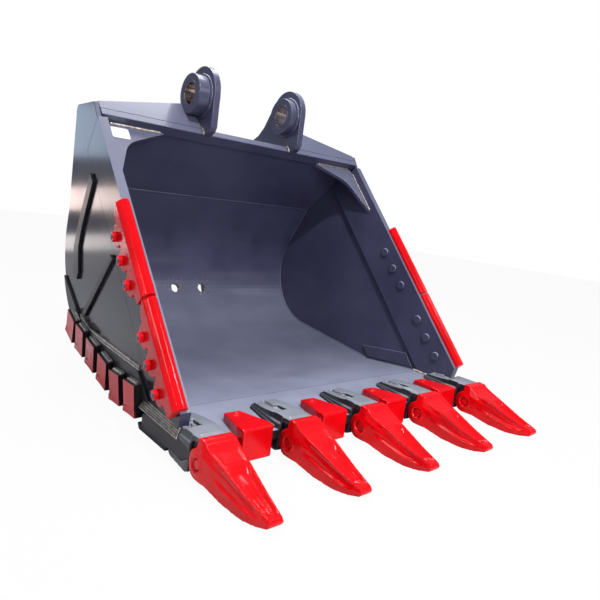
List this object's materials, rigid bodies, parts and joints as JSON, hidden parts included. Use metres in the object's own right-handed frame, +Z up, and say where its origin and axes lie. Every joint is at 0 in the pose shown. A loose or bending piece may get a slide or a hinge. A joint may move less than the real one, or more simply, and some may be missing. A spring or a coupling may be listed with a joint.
{
  "type": "excavator bucket",
  "caption": "Heavy rock bucket for an excavator, with mounting ears, pinned tooth tips, lip and heel shrouds, and bolted side protectors.",
  "frame": {"origin": "centre of the stick pin bores, midway between the ears", "axes": "+X along the pins, across the bucket; -Y the way the mouth and teeth point; +Z up with the heel resting level"},
  "size_m": [1.8406, 2.1402, 1.6501],
  "materials": {
    "body_paint": "semi-gloss anthracite paint with bare weld beads",
    "red_paint": "glossy signal red over a cast surface",
    "adapter_paint": "blue-grey paint over a cast surface",
    "bolt_steel": "red paint",
    "bush_steel": "machined bore",
    "pin_steel": "plain ground pin"
  },
  "bodies": {
    "bucket": {"side_plate_left": "body_paint", "side_plate_right": "body_paint", "side_bar_left": "body_paint", "side_bar_right": "body_paint", "wrapper_plate": "body_paint", "roof_plate": "body_paint", "top_lip_bar": "body_paint", "cutting_edge": "body_paint", "lip_wear_plate": "body_paint", "shoulder_front_left": "body_paint", "shoulder_front_right": "body_paint", "shoulder_top_left": "body_paint", "shoulder_top_right": "body_paint", "shoulder_back_left": "body_paint", "shoulder_back_right": "body_paint", "corner_gusset_left": "body_paint", "corner_gusset_right": "body_paint", "ear_left": "body_paint", "ear_right": "body_paint", "stick_pin_bosses": "body_paint", "link_pin_bosses": "body_paint", "stick_pin_bushes": "bush_steel", "link_pin_bushes": "bush_steel", "ear_tube": "body_paint", "side_strips_left": "body_paint", "side_strips_right": "body_paint", "side_wear_left": "body_paint", "side_wear_right": "body_paint", "inner_liner_left": "body_paint", "inner_liner_right": "body_paint", "heel_shrouds_left": "red_paint", "heel_shrouds_right": "red_paint", "heel_straps": "body_paint", "adapter_1": "adapter_paint", "adapter_2": "adapter_paint", "adapter_3": "adapter_paint", "adapter_4": "adapter_paint", "adapter_5": "adapter_paint", "tooth_1": "red_paint", "tooth_2": "red_paint", "tooth_3": "red_paint", "tooth_4": "red_paint", "tooth_5": "red_paint", "lip_shroud_1": "red_paint", "lip_shroud_2": "red_paint", "lip_shroud_3": "red_paint", "lip_shroud_4": "red_paint", "guard_upper_left": "red_paint", "guard_lower_left": "red_paint", "guard_upper_right": "red_paint", "guard_lower_right": "red_paint", "side_bolts_left": "body_paint", "side_bolts_right": "body_paint", "side_nuts_left": "bolt_steel", "side_nuts_right": "bolt_steel"},
    "pin_1": {"tooth_pin_1": "pin_steel"},
    "pin_2": {"tooth_pin_2": "pin_steel"},
    "pin_3": {"tooth_pin_3": "pin_steel"},
    "pin_4": {"tooth_pin_4": "pin_steel"},
    "pin_5": {"tooth_pin_5": "pin_steel"}
  },
  "joints": [
    {"name": "tooth_pin_1", "type": "slide", "parent": "bucket", "child": "pin_1", "axis": [-1, 0, 0], "range_m": [0, 0.17]},
    {"name": "tooth_pin_2", "type": "slide", "parent": "bucket", "child": "pin_2", "axis": [-1, 0, 0], "range_m": [0, 0.17]},
    {"name": "tooth_pin_3", "type": "slide", "parent": "bucket", "child": "pin_3", "axis": [-1, 0, 0], "range_m": [0, 0.17]},
    {"name": "tooth_pin_4", "type": "slide", "parent": "bucket", "child": "pin_4", "axis": [-1, 0, 0], "range_m": [0, 0.17]},
    {"name": "tooth_pin_5", "type": "slide", "parent": "bucket", "child": "pin_5", "axis": [-1, 0, 0], "range_m": [0, 0.17]}
  ]
}
